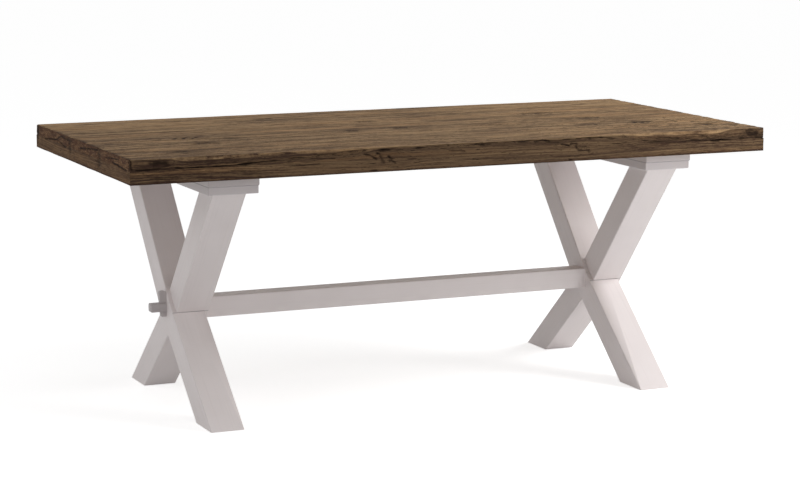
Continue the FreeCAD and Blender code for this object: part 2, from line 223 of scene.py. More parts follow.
def lattice_noise(places, seed):
    """Smooth noise from -1 to 1: a random value at each whole-number corner, joined by smooth steps."""
    axes = places.shape[1]
    cell = np.floor(places).astype(np.int64)
    part = smooth_step(0, 1, places - cell)
    total = np.zeros(len(places))
    for corner in np.ndindex(*(2,) * axes):
        weight = np.prod(np.where(corner, part, 1 - part), axis=1)
        value = ((cell + corner) * HASH_PRIMES[:axes]).sum(axis=1) + seed * SEED_PRIME
        for shift, factor in HASH_ROUNDS:
            value = (value ^ (value >> shift)) * factor & HASH_TOP
        total += weight * (value / (HASH_TOP // 2) - 1)
    return total


def layered_noise(seed, layers, *coordinates):
    """Lattice noise summed over layers, each twice as fine and half as strong as the one before."""
    places = np.stack(np.broadcast_arrays(*coordinates), axis=1)
    return sum(lattice_noise(places * 2 ** n, seed + n) / 2 ** n for n in range(layers))


def hollows(depth, seed, *coordinates):
    """Hollows worn into a surface: depth * ((1 + noise) / 2)^2."""
    return depth * (0.5 + 0.5 * layered_noise(seed, 2, *coordinates)) ** 2


def smooth_step(low, high, value):
    """0 below low, 1 above high, and a smooth curve between."""
    share = np.clip((value - low) / (high - low), 0, 1)
    return share * share * (3 - 2 * share)


def spaced(low, high, step, rim=0.006, fine=0.001):
    """Places from low to high: fine steps within the rim at both ends, and even steps between."""
    first = np.linspace(0, rim, round(rim / fine), endpoint=False)
    middle = np.linspace(low + rim, high - rim, round((high - low - 2 * rim) / step) + 1)
    return np.concatenate([low + first, middle, high - first[::-1]])


def block_surface(*stations):
    """The six faces of a block, each a grid over two of its three lists of places.

    A face is a function of two parameters: the point whose two coordinates are read from the lists,
    with the third held at the low or high end of its list. Points on shared rims are merged.
    """
    points, quads, count = [], [], 0
    for held in range(3):
        first, second = (held + 1) % 3, (held + 2) % 3
        for end in (0, -1):
            u, v = np.meshgrid(stations[first], stations[second], indexing="ij")
            grid = np.empty(u.shape + (3,))
            grid[..., held] = stations[held][end]
            grid[..., first] = u
            grid[..., second] = v
            number = count + np.arange(u.size).reshape(u.shape)
            corners = (number[:-1, :-1], number[1:, :-1], number[1:, 1:], number[:-1, 1:])
            quad = np.stack(corners, axis=-1).reshape(-1, 4)
            points.append(grid.reshape(-1, 3))
            quads.append(quad if end else quad[:, ::-1])
            count += u.size
    points = np.concatenate(points)
    rounded = np.round(points * MERGE_STEPS)
    _, kept, merged = np.unique(rounded, axis=0, return_index=True, return_inverse=True)
    return points[kept], merged.reshape(-1)[np.concatenate(quads)]


def round_edge(points, first, second, reach_first, reach_second, power=2.0):
    """Round the edge between two faces over a reach on each, which may change along the edge.

    first and second are (axis, place, inward sign). With a and b the shares of the two reaches that
    are left, the square corner max(a, b) = 1 is drawn in to the curve a^power + b^power = 1.
    """
    u = first[2] * (points[:, first[0]] - first[1])
    v = second[2] * (points[:, second[0]] - second[1])
    a = np.clip((reach_first - u) / reach_first, 0, None)
    b = np.clip((reach_second - v) / reach_second, 0, None)
    inside = (a > 0) & (b > 0)
    total = np.where(inside, a ** power + b ** power, 1) ** (1 / power)
    pull = np.where(inside, np.maximum(a, b) / total, 1)
    points[:, first[0]] += np.where(inside, first[2] * reach_first * a * (1 - pull), 0)
    points[:, second[0]] += np.where(inside, second[2] * reach_second * b * (1 - pull), 0)


def put_in_scene(name, points, quads, material, stands_for, attributes):
    """Make a mesh of the oak top from arrays, with smooth faces, and set it in place of its CAD node."""
    mesh = bpy.data.meshes.new(name)
    mesh.vertices.add(len(points))
    mesh.vertices.foreach_set("co", points.astype(np.float32).ravel())
    mesh.loops.add(quads.size)
    mesh.loops.foreach_set("vertex_index", quads.astype(np.int32).ravel())
    mesh.polygons.add(len(quads))
    mesh.polygons.foreach_set("loop_start", np.arange(0, quads.size, 4, dtype=np.int32))
    mesh.update(calc_edges=True)
    mesh.polygons.foreach_set("use_smooth", np.ones(len(quads), bool))
    for key, values in attributes.items():
        flat = values.ndim == 1
        layer = mesh.attributes.new(key, "FLOAT" if flat else "FLOAT_VECTOR", "POINT")
        layer.data.foreach_set("value" if flat else "vector", values.astype(np.float32).ravel())
    if mesh.validate():
        raise RuntimeError(f"the mesh of {name} was not sound")
    piece = bpy.data.objects.new(name, mesh)
    bpy.context.scene.collection.objects.link(piece)
    mesh.materials.append(material)
    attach(piece, "table")
    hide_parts(stands_for)


def add_node(tree, kind, inputs=(), out=0, **settings):
    """Add one shader node with its settings, set or link its inputs, and give one of its outputs.

    The inputs come in the node's own order, or by name or number.
    """
    made = tree.nodes.new("ShaderNode" + kind)
    for key, value in settings.items():
        setattr(made, key, value)
    for key, value in inputs.items() if isinstance(inputs, dict) else enumerate(inputs):
        if isinstance(value, bpy.types.NodeSocket):
            tree.links.new(value, made.inputs[key])
        else:
            made.inputs[key].default_value = value
    return made.outputs[out] if made.outputs else None


def new_material(name):
    """An empty node material, and what adds nodes to it."""
    material = bpy.data.materials.new(name)
    material.use_nodes = True
    material.node_tree.nodes.clear()
    return material, partial(add_node, material.node_tree)


def in_metres(rows, lengths):
    """A table of marks whose first columns are written in millimetres, with those in metres."""
    table = np.array(rows, float)
    table[:, :lengths] /= 1000
    return table


# The marks below are placed along and across from the middle of the top or down from its face.
# Knots in the face: place along and across, length, width, and how dark.
FACE_KNOTS = in_metres((
    (-770, -340, 60, 26, 0.8),
    (-650, -180, 46, 36, 1.0),
    (-625, -190, 30, 26, 0.7),
    (-550, -120, 60, 40, 0.3),
    (-300, 320, 30, 26, 0.6),
    (-170, -60, 36, 30, 0.7),
    (-50, 140, 30, 26, 0.5),
    (-20, -50, 36, 30, 0.6),
    (270, -70, 40, 30, 0.7),
    (530, 150, 60, 40, 0.6),
    (590, -30, 60, 40, 0.6),
    (700, -190, 60, 40, 0.8),
    (850, -310, 50, 44, 0.8),
    (910, -360, 40, 30, 0.8),
), 4)
# Short checks in the face: three points along and across, half width, and how dark.
FACE_STROKES = in_metres((
    (-765, -70, -750, -62, -735, -50, 5, 0.6),
    (-700, -56, -690, -46, -684, -28, 6, 0.8),
    (-676, -64, -668, -50, -660, -34, 7, 1.0),
    (-650, -64, -640, -52, -628, -40, 6, 0.8),
    (-690, -186, -660, -182, -620, -184, 6, 0.9),
    (664, -206, 676, -194, 684, -176, 7, 1.0),
    (690, -208, 700, -194, 708, -178, 7, 1.0),
    (712, -204, 722, -190, 736, -180, 6, 0.9),
    (838, -330, 848, -312, 862, -296, 7, 0.8),
), 7)
# Knots in the front edge: place along and depth below the face, then as above.
EDGE_KNOTS = in_metres((
    (-868, 13, 60, 16, 0.8),
    (-245, 30, 100, 34, 0.0),
    (345, 30, 100, 28, 0.0),
    (910, 14, 50, 24, 1.0),
), 4)
# Dark strokes in the front edge: three points along and below the face, half width, and how dark.
EDGE_STROKES = in_metres((
    # at the left corner, and the knot beside it
    (-947, 4, -949, 14, -946, 25, 3, 0.8),
    (-935, 28, -915, 27, -895, 28, 2.5, 1.0),
    (-895, 28, -870, 26, -850, 20, 2.2, 0.7),
    (-888, 8, -882, 13, -886, 20, 4, 0.8),
    (-880, 12, -866, 11, -850, 15, 5, 0.85),
    # above and below the left stretch of the split
    (-775, 5, -725, 4, -677, 3, 2, 0.7),
    (-735, 17, -700, 19, -660, 19, 1.6, 0.6),
    (-895, 52, -860, 51, -822, 51, 1.8, 0.6),
    (-663, 42, -650, 43, -637, 44, 2, 0.6),
    (-510, 38, -470, 38, -427, 36, 2, 0.6),
    (-455, 22, -420, 23, -380, 24, 1.6, 0.65),
    (-440, 12, -350, 7, -290, 3, 2, 0.65),
    # the feather
    (-297, 17, -277, 18, -259, 34, 2.8, 0.75),
    (-260, 16, -255, 17, -251, 19, 3, 0.85),
    (-251, 22, -247, 31, -241, 42, 4.5, 0.6),
    (-226, 26, -221, 30, -216, 35, 3.5, 0.8),
    (-222, 38, -213, 36, -206, 45, 3, 0.75),
    (-277, 62, -270, 62, -261, 62, 3, 0.8),
    (-170, 36, -158, 36, -145, 36, 1.6, 0.6),
    (-47, 19, -25, 20, 0, 22, 2.5, 0.6),
    # the hook
    (256, 11, 270, 11, 285, 11, 1.8, 0.7),
    (297, 18, 311, 20, 322, 24, 2.4, 0.9),
    (325, 18, 335, 17, 344, 20, 3.4, 0.85),
    (341, 24, 344, 34, 354, 38, 3.2, 0.75),
    (354, 38, 368, 38, 380, 38, 2.2, 0.85),
    (380, 36, 384, 39, 384, 43, 3, 0.85),
    (322, 63, 325, 63, 328, 63, 3, 0.85),
    # short checks along the right stretch of the split
    (455, 24, 478, 24, 500, 22, 1.8, 0.7),
    (602, 8, 620, 11, 637, 15, 1.8, 0.7),
    (643, 16, 657, 17, 671, 18, 1.8, 0.75),
    (692, 19, 702, 20, 713, 19, 2, 0.75),
    (709, 6, 735, 4, 762, 4, 1.8, 0.8),
    (786, 5, 800, 4, 814, 5, 1.8, 0.75),
    (775, 30, 790, 32, 803, 32, 2.4, 0.95),
    (814, 31, 827, 31, 839, 31, 1.6, 0.7),
    (871, 29, 876, 28, 881, 29, 4, 0.6),
    # the knot at the right corner
    (892, 8, 895, 14, 900, 18, 4, 0.85),
    (902, 6, 912, 12, 924, 22, 8, 0.7),
    (924, 28, 936, 29, 949, 30, 2.6, 0.95),
    (867, 55, 900, 55, 935, 55, 1.8, 0.5),
), 7)
# Dark strokes in the left end: three points across and below the face, then as above.
END_STROKES = in_metres((
    (448, 0, 440, 15, 448, 34, 14, 0.8),
    (365, 32, 300, 27, 240, 21, 2.6, 0.9),
    (240, 21, 215, 10, 170, 6, 2.6, 0.85),
    (240, 21, 200, 26, 150, 34, 2.6, 0.8),
    (190, 8, 130, 9, 85, 12, 4, 0.7),
    (110, 14, 108, 25, 104, 37, 16, 0.6),
    (0, 20, -90, 10, -180, 6, 3, 0.85),
    (-178, 12, -185, 25, -180, 40, 18, 0.6),
    (-245, 18, -300, 14, -355, 10, 2.4, 0.8),
    (-300, 24, -360, 27, -430, 32, 2.8, 1.0),
    (-452, 3, -448, 12, -452, 25, 6, 0.9),
), 7)
# The long split in the front edge: place along, depth below the face, and how far it gapes.
SPLIT_PATH = in_metres((
    (-950, 29, 0.2),
    (-860, 28, 0.4),
    (-825, 28, 0.8),
    (-800, 29, 0.4),
    (-775, 29, 0.8),
    (-690, 27, 1.0),
    (-630, 24, 1.0),
    (-540, 20, 0.9),
    (-425, 14, 0.6),
    (-300, 9, 0.7),
    (-190, 7, 0.7),
    (0, 5, 0.6),
    (290, 5, 0.7),
    (420, 5, 0.8),
    (500, 8, 0.5),
    (555, 19, 0.5),
    (605, 24, 0.8),
    (680, 27, 0.6),
    (740, 29, 0.8),
    (815, 29, 0.8),
    (860, 29, 0.6),
    (950, 29, 0.4),
), 2)


def split_depth_at(along):
    """How far below the face the long split runs, with the small wander of a real one."""
    even = np.interp(along, SPLIT_PATH[:, 0], SPLIT_PATH[:, 1])
    wander = 0.0016 * layered_noise(SEED.wander, 3, along / 0.045, 0)
    return np.clip(even + wander, 0.0024, 0.0292)


def knots_near(across, down, knots):
    """How near each point is to a knot, from 0 to 1, how dark it is there, and how far the grain is pushed.

    With s the distance from a knot in halves of its own length and width, nearness falls from 1 inside
    s = 1 to 0 at s = 4. The grain runs round it as water runs round a stone, pushed by y / max(s^2, 1).
    """
    near = np.zeros(len(across))
    dark = np.zeros(len(across))
    aside = np.zeros(len(across))
    ragged = layered_noise(SEED.knots, 2, across / 0.016, down / 0.011)
    for x, y, long, wide, depth in knots:
        close = (np.abs(across - x) < 2.2 * long) & (np.abs(down - y) < 2.2 * wide)
        dy = down[close] - y
        s = np.hypot((across[close] - x) / (long / 2), dy / (wide / 2))
        near[close] = np.maximum(near[close], smooth_step(-4, -1, -s))
        heart = depth * smooth_step(-1.1, -0.3, -s - 0.5 * ragged[close])
        dark[close] = np.maximum(dark[close], heart)
        aside[close] -= 0.4 * dy / np.maximum(s * s, 1) * smooth_step(-4, -2, -s)
    return near, dark, aside


def stroke_shade(across, down, strokes, seed):
    """How dark the drawn strokes make each point: 1 along a stroke's line, and 0 past its ragged rim.

    A stroke is the curve (1 - t)^2 A + 2 t (1 - t) B + t^2 C, taken as short straight runs. A point's
    distance from it is the least of its distances from those runs.
    """
    shade = np.zeros(len(across))
    ragged = 1 + 0.45 * layered_noise(seed, 2, across / 0.009, down / 0.004)
    for *corners, width, dark in strokes:
        corners = np.array(corners).reshape(3, 2)
        a, b, c = corners
        low = corners.min(axis=0) - 2 * width
        high = corners.max(axis=0) + 2 * width
        close = (across > low[0]) & (across < high[0]) & (down > low[1]) & (down < high[1])
        places = np.stack([across[close], down[close]], axis=1)
        t = np.linspace(0, 1, 9)[:, None]
        curve = (1 - t) ** 2 * a + 2 * t * (1 - t) * b + t ** 2 * c
        least = np.full(len(places), 1.0)
        for start, end in zip(curve[:-1], curve[1:]):
            run = end - start
            share = np.clip((places - start) @ run / (run @ run), 0, 1)
            least = np.minimum(least, np.linalg.norm(places - start - share[:, None] * run, axis=1))
        drawn = dark * smooth_step(-1.2, -0.4, -least / (width * ragged[close]))
        shade[close] = np.maximum(shade[close], drawn)
    return shade


def grown_wood(points, along_axis, pith, ring_width, seed):
    """What the oak's colours follow where nothing disturbs it.

    grain is (along, across, depth), shifted along so that no two boards are alike. ring is the distance
    from the pith line over the ring spacing, with the slow wander of a grown trunk.
    """
    along, across, depth = points[:, along_axis], points[:, 1 - along_axis], points[:, 2]
    lift = 0.009 * layered_noise(seed + 5, 3, along / 0.9, across / 0.13, seed)
    radius = np.hypot(across - pith[0], depth - pith[1] + lift)
    fine = layered_noise(seed + 9, 2, along / 0.15, across / 0.03, depth / 0.012)
    traits = {key: np.zeros(len(points)) for key in WOOD_TRAITS}
    traits["ring"] = radius / ring_width + 0.35 * fine
    traits["grain"] = np.stack([along + seed * 3.7, across, depth + lift], axis=1)
    return traits


def let_in_knots(traits, where, across, down, knots, push):
    """Let knots into the wood of one face: they darken it, bring checks, and push its grain aside."""
    near, dark, aside = knots_near(across, down, knots)
    traits["near"] = np.where(where, near, traits["near"])
    traits["mark"] = np.where(where, np.maximum(dark, traits["mark"]), traits["mark"])
    traits["grain"][:, abs(push)] += np.where(where, math.copysign(1, push) * aside, 0)


def draw_strokes(traits, where, across, down, strokes, seed):
    """Draw dark strokes on one face of the wood."""
    shade = stroke_shade(across, down, strokes, seed)
    traits["mark"] = np.where(where, np.maximum(shade, traits["mark"]), traits["mark"])


def edge_stain_and_painted_shade(along, depth):
    """How deep the stain is in a long edge: deepest under the arris, and towards both ends. All along, the
    edge is darker than the face, partly stain and partly painted shade.
    """
    under_arris = smooth_step(-0.017, -0.009, -depth) * smooth_step(-0.60, -0.40, along)
    in_wane = smooth_step(-0.032, -0.024, -depth) * smooth_step(0.36, 0.58, -along)
    by_ends = 0.40 * smooth_step(0.45, 0.85, -along) + 0.25 * smooth_step(0.38, 0.60, along)
    uneven = layered_noise(SEED.edge_stain_and_painted_shade, 2, along / 0.16, depth / 0.010)
    # The base of 1.26 makes the whole edge darker than the face, partly as painted shade.
    return 1.26 + 0.12 * under_arris + 0.50 * in_wane + by_ends + 0.22 * uneven


def edge_calm(along):
    """How calm the grain is in the front edge: calmest in the middle, and liveliest at the left."""
    return 0.43 * smooth_step(-0.65, -0.38, -np.abs(along)) - 0.35 * smooth_step(0.60, 0.75, -along)


def face_calm(along, across):
    """How calm the grain is in the face: liveliest towards the two front corners."""
    return -0.40 * smooth_step(0.30, 0.60, np.abs(along)) * smooth_step(-0.05, 0.15, -across)


def stained(stain, calm):
    """What a depth of stain and a calm grain do to the share r of the stain that is rubbed off.

    r becomes contrast * r + lift. Stain lowers both, and calm draws r towards its mean over the top. The
    depth of stain also carries the painted light and shade of the face, the front edges and the strips' feet.
    """
    return {"contrast": 1 - 0.12 * stain - calm, "lift": MEAN_RUBBED * calm - 0.19 * stain}


def edge_checks(along, depth, line):
    """Where short checks gather in the front edge: along the split, and in a wide band at the right."""
    by_split = np.exp(-((depth - line - 0.002) / 0.008) ** 2)
    band = smooth_step(0.004, 0.012, depth) * smooth_step(-0.040, -0.028, -depth)
    at_right = smooth_step(0.45, 0.62, along) * band
    anywhere = 0.35 * smooth_step(0.003, 0.009, depth)
    return np.maximum(np.maximum(0.9 * by_split, at_right), anywhere)


def face_checks(along, across, from_edge):
    """Where short checks gather in the face: towards the front edge but not on it, and most at the right."""
    forward = smooth_step(-0.05, 0.20, -across) * smooth_step(0.006, 0.030, from_edge)
    return forward * (0.45 + 0.30 * smooth_step(0.35, 0.65, along))


def end_stain(across, depth):
    """How deep the stain is in the rough end grain: blotched, and calmer in its lower part."""
    uneven = layered_noise(SEED.end_stain, 3, across / 0.018, depth / 0.006)
    blotched = smooth_step(-0.05, 0.35, uneven)
    rough = 1 - 0.75 * smooth_step(0.024, 0.036, depth)
    by_arris = smooth_step(-0.008, -0.001, -depth)
    return 1.0 + rough * (1.5 * blotched + 0.5 * by_arris)


def groove_stations(oak):
    """Places along and up at which a plank's grooves begin and end, with the feet of their walls."""
    low, high = TONGUES
    room, wall = oak.tongue_room, GROOVE_WALL
    return [
        np.array([low[axis] - room - wall, low[axis] - room, high[axis] + room, high[axis] + room + wall])
        for axis in (0, 2)]


def cut_groove(points, flat, where, inward, oak):
    """Sink the groove for a loose tongue into one joined edge of a plank.

    A point of the edge within the tongue's length and thickness moves in by half the tongue's width.
    """
    low, high = TONGUES
    room = oak.tongue_room + GROOVE_WALL / 2
    for axis in (0, 2):
        where = where & (flat[:, axis] > low[axis] - room) & (flat[:, axis] < high[axis] + room)
    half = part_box(PLANKS[0])[1].y - low.y
    points[:, 1] += np.where(where, inward * (half + oak.tongue_room), 0)


def plank_block(number, oak):
    """The surface of a plank before it is worn, with rows of points where its grooves are to be cut."""
    low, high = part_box(PLANKS[number - 1])
    steps = FRONT_STEPS if number == 1 else PLANK_STEPS
    xs = spaced(low.x, high.x, steps[0])
    ys = spaced(low.y, high.y, steps[1])
    zs = spaced(low.z, high.z, steps[2], RIM)
    if number == 1:
        strip_end = low.y + WANE_STRIP
        strip = np.linspace(low.y, strip_end, WANE_ROWS, endpoint=False)
        ys = np.concatenate([strip, spaced(strip_end, high.y, steps[1])])
    along_groove, up_groove = groove_stations(oak)
    return block_surface(np.union1d(xs, along_groove), ys, np.union1d(zs, up_groove))


def plank_places(number, flat):
    """Where each point of an unworn plank lies, and on which of its outer faces.

    line is the depth of the long split below the face. wane says where the front edge is drawn in to
    that line, from 0 to 1. edge marks the points of the front edge and its wane.
    """
    low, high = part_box(PLANKS[number - 1])
    front, back = number == 1, number == len(PLANKS)
    x, y, z = flat.T
    depth = high.z - z
    from_end = np.minimum(x - low.x, high.x - x)
    line = split_depth_at(x)
    on_front = (y <= low.y + TOUCH) & front
    return SimpleNamespace(
        number=number, low=low, high=high, front=front, back=back, flat=flat, x=x, y=y, z=z,
        depth=depth, from_end=from_end, from_edge=y - TOP_LOW.y, line=line,
        wane=front * smooth_step(0.085, 0.16, from_end) * smooth_step(0.005, 0.012, line),
        on_face=z >= high.z - TOUCH, on_front=on_front, on_back=(y >= high.y - TOUCH) & back,
        on_left=x <= low.x + TOUCH, on_right=x >= high.x - TOUCH,
        edge=on_front | ((depth > 0.004) & (y < low.y + WANE_STRIP) & front))


def round_plank(points, at, oak):
    """Round the edges of a plank, and draw in the front one where it is wane.

    The wane reaches down the edge to the long split, and WANE_SLOPE times as far back on the face.
    """
    low, high = at.low, at.high
    worn = oak.arris * (1 + 0.5 * layered_noise(SEED.arris + at.number, 3, at.x / 0.08, at.y / 0.08))
    broken = oak.ragged_arris * (1 + 0.6 * layered_noise(SEED.broken, 3, at.y / 0.024, np.sign(at.x)))
    face, foot = (2, high.z, -1), (2, low.z, 1)
    near, far = (1, low.y, 1), (1, high.y, -1)
    if at.front:
        down = worn + at.wane * (at.line - oak.arris)
        aside = worn + at.wane * (WANE_SLOPE * at.line)
        round_edge(points, near, face, aside, down, 2.0 - 0.3 * at.wane)
    else:
        round_edge(points, near, face, oak.seam, oak.seam)
    rim = worn if at.back else oak.seam
    round_edge(points, far, face, rim, rim)
    for end in ((0, low.x, 1), (0, high.x, -1)):
        round_edge(points, end, face, broken, broken)
        if at.front:
            round_edge(points, end, near, worn, worn)
        if at.back:
            round_edge(points, end, far, worn, worn)
        round_edge(points, end, foot, oak.seam, oak.seam)


def mark_plank(at, traits):
    """Let knots, strokes and checks into the face, the front edge and the left end of a plank."""
    on_top = at.on_face & ~at.edge
    let_in_knots(traits, on_top, at.x, at.y, FACE_KNOTS, 1)
    draw_strokes(traits, on_top, at.x, at.y, FACE_STROKES, SEED.face_strokes)
    checks = np.maximum(traits["near"], face_checks(at.x, at.y, at.from_edge))
    traits["near"] = np.where(at.on_face, checks, traits["near"])
    if at.front:
        let_in_knots(traits, at.edge, at.x, at.depth, EDGE_KNOTS, -2)
        draw_strokes(traits, at.edge, at.x, at.depth, EDGE_STROKES, SEED.edge_strokes)
        checks = np.maximum(0.5 * traits["near"], edge_checks(at.x, at.depth, at.line))
        traits["near"] = np.where(at.edge, checks, traits["near"])
        turned = smooth_step(0, 0.010, at.depth) * (at.y < at.low.y + WANE_STRIP)
        traits["grain"][:, 2] += 0.8 * at.line * turned
    draw_strokes(traits, at.on_left, at.y, at.depth, END_STROKES, SEED.end_strokes)


def carve_plank(points, at, traits, oak):
    """Sink the brushed hollows, the saw's marks, the pits of knots and strokes, and the grooves."""
    hollow = hollows(oak.relief, SEED.brushed + at.number, at.x / 0.22, at.y / 0.016, at.z / 0.016)
    sawn = hollows(oak.saw, SEED.sawn + at.number, at.y / 0.014, at.z / 0.004)
    pit = oak.pit * traits["mark"]
    points[:, 2] -= at.on_face * smooth_step(0, 0.006, at.from_end) * (hollow + pit)
    points[:, 1] += at.on_front * (hollow + pit)
    points[:, 1] -= at.on_back * hollow
    points[:, 0] += at.on_left * (sawn + pit)
    points[:, 0] -= at.on_right * (sawn + pit)
    if not at.front:
        cut_groove(points, at.flat, at.y <= at.low.y + TOUCH, 1, oak)
    if not at.back:
        cut_groove(points, at.flat, at.y >= at.high.y - TOUCH, -1, oak)


def open_split(points, at, traits, oak):
    """Open the long split in the front edge: depth * gape * exp(-((depth below face - line) / width)^2)."""
    gape = np.interp(at.x, SPLIT_PATH[:, 0], SPLIT_PATH[:, 2])
    gape = np.clip(gape * (0.65 + 0.70 * layered_noise(SEED.gape, 3, at.x / 0.035, 0)), 0.0, 1.2)
    width = oak.split_width * np.clip(gape, 0.5, 1.2)
    split = gape * np.exp(-((at.depth - at.line) / width) ** 2) * (at.y < at.low.y + 0.02)
    points[:, 1] += at.on_front * oak.split_depth * split
    traits["split"] = np.clip(1.2 * split, 0, 1)


def face_stain_and_painted_light(at):
    """How deep the stain is in the face.

    It is deep by the ends, the seams and the front edge. Painted shade deepens it at the front left corner,
    and painted light makes it paler towards the back corners and, most at the right, over the front half.
    """
    notched = 0.010 * (1 + 0.9 * layered_noise(SEED.notched, 3, at.y / 0.022, np.sign(at.x)))
    by_end = 1.3 * smooth_step(-1.2, -0.2, -at.from_end / np.maximum(notched, 0.002))
    on_lip = 0.55 * at.wane * smooth_step(-0.011, -0.002, -at.from_edge)
    by_edge = 0.35 * smooth_step(-0.14, 0.0, -at.from_edge)
    # The outer edges of the top are no seams, so they count as a metre away.
    from_seam = np.minimum(at.y - at.low.y + at.front, at.high.y - at.y + at.back)
    by_seam = 0.8 * smooth_step(-0.004, -0.001, -from_seam)
    # Painted light and shade across the face: shade at the front left, light towards the back corners and
    # over the front half.
    at_left = 0.45 * smooth_step(0.00, 0.28, -at.y) * smooth_step(0.20, 0.65, -at.x)
    behind = 0.95 * smooth_step(0.05, 0.40, at.y) * smooth_step(0.15, 0.60, np.abs(at.x))
    in_front = smooth_step(0.0, 0.2, -at.y) * (0.15 + 0.25 * smooth_step(0.30, 0.60, at.x))
    deeper = by_end + on_lip + by_edge + by_seam + at_left + PLANK_STAINS[at.number - 1]
    return deeper - behind - in_front


def stain_plank(at, traits):
    """Stain the faces of a plank, each in its own way, with painted light and shade in the face and the front
    edge.
    """
    stain = (at.on_front | at.on_back) * smooth_step(-0.003, 0.004, at.depth)
    if at.front:
        stain *= edge_stain_and_painted_shade(at.x, at.depth)
    on_end = at.on_left | at.on_right
    stain += on_end * end_stain(at.y, at.depth) + at.on_face * face_stain_and_painted_light(at)
    calm = np.where(at.on_face, face_calm(at.x, at.y), at.on_front * edge_calm(at.x))
    traits.update(stained(stain, calm))
    traits["end"] = on_end.astype(float)


def lay_plank(number, oak, material):
    """One plank of the top: a block surface that is rounded, marked, carved and stained."""
    points, quads = plank_block(number, oak)
    at = plank_places(number, points.copy())
    round_plank(points, at, oak)
    pith = ((at.low.y + at.high.y) / 2 + PITHS[number - 1], at.low.z - 0.20)
    traits = grown_wood(at.flat, 0, pith, oak.ring_width, SEED.plank + number)
    mark_plank(at, traits)
    carve_plank(points, at, traits, oak)
    if at.front:
        open_split(points, at, traits, oak)
    stain_plank(at, traits)
    put_in_scene(f"oak_plank_{number}", points, quads, material, PLANKS[number - 1], traits)


def fit_edge_strip(side, oak, material):
    """One strip of the thickened edge: a block surface mitred at both ends, with its outer foot rubbed round
    and darkened along it as painted shade.

    The mitre moves each point towards the middle by its distance in from the outer face.
    """
    name = f"edge_strip_{side}"
    low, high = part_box(name)
    along = 0 if side in ("front", "back") else 1
    cross = 1 - along
    marked = side in ("front", "left")
    outer, inward = (low[cross], 1) if marked else (high[cross], -1)
    lists = [None, None, spaced(low.z, high.z, MARKED_STEP if marked else STRIP_STEPS[2], RIM)]
    lists[along] = spaced(low[along], high[along], STRIP_STEPS[0])
    lists[cross] = spaced(low[cross], high[cross], STRIP_STEPS[1])
    points, quads = block_surface(*lists)
    flat = points.copy()
    run, z = flat[:, along], flat[:, 2]
    depth = TOP_HIGH.z - z
    inset = inward * (flat[:, cross] - outer)
    on_outer = inset <= TOUCH
    half = (high[along] - low[along]) / 2
    middle = (high[along] + low[along]) / 2
    points[:, along] = middle + (run - middle) * (half - inset) / half
    worn = oak.arris * (1 + 0.5 * layered_noise(SEED.foot, 3, run / 0.08, z / 0.08))
    round_edge(points, (cross, outer, inward), (2, low.z, 1), worn, worn)
    round_edge(points, (cross, outer, inward), (2, high.z, -1), oak.seam, oak.seam)

    seed = SEED.strip + SIDES.index(side)
    traits = grown_wood(flat, along, (outer + inward * 0.06, low.z - 0.15), oak.ring_width, seed)
    if side == "front":
        let_in_knots(traits, on_outer, run, depth, EDGE_KNOTS, -2)
        draw_strokes(traits, on_outer, run, depth, EDGE_STROKES, SEED.edge_strokes)
    if side == "left":
        draw_strokes(traits, on_outer, run, depth, END_STROKES, SEED.end_strokes)
    hollow = hollows(oak.relief, seed + 3, run / 0.22, z / 0.012)
    points[:, cross] += on_outer * inward * (hollow + oak.pit * traits["mark"])
    # Painted shade along the lower arris of the outer face.
    foot_painted_shade = 0.75 * smooth_step(-0.009, -0.002, low.z - z)
    deep = end_stain(run, depth) if along else edge_stain_and_painted_shade(run, depth)
    calm = on_outer * {"front": edge_calm(run), "left": 0.4}.get(side, 0)
    traits.update(stained(np.where(on_outer, deep + foot_painted_shade, 0.3), calm))
    traits["near"] = on_outer * np.maximum(0.5 * traits["near"], 0.35)
    traits["end"] = on_outer * 0.4 * along
    put_in_scene(f"oak_edge_{side}", points, quads, material, name, traits)


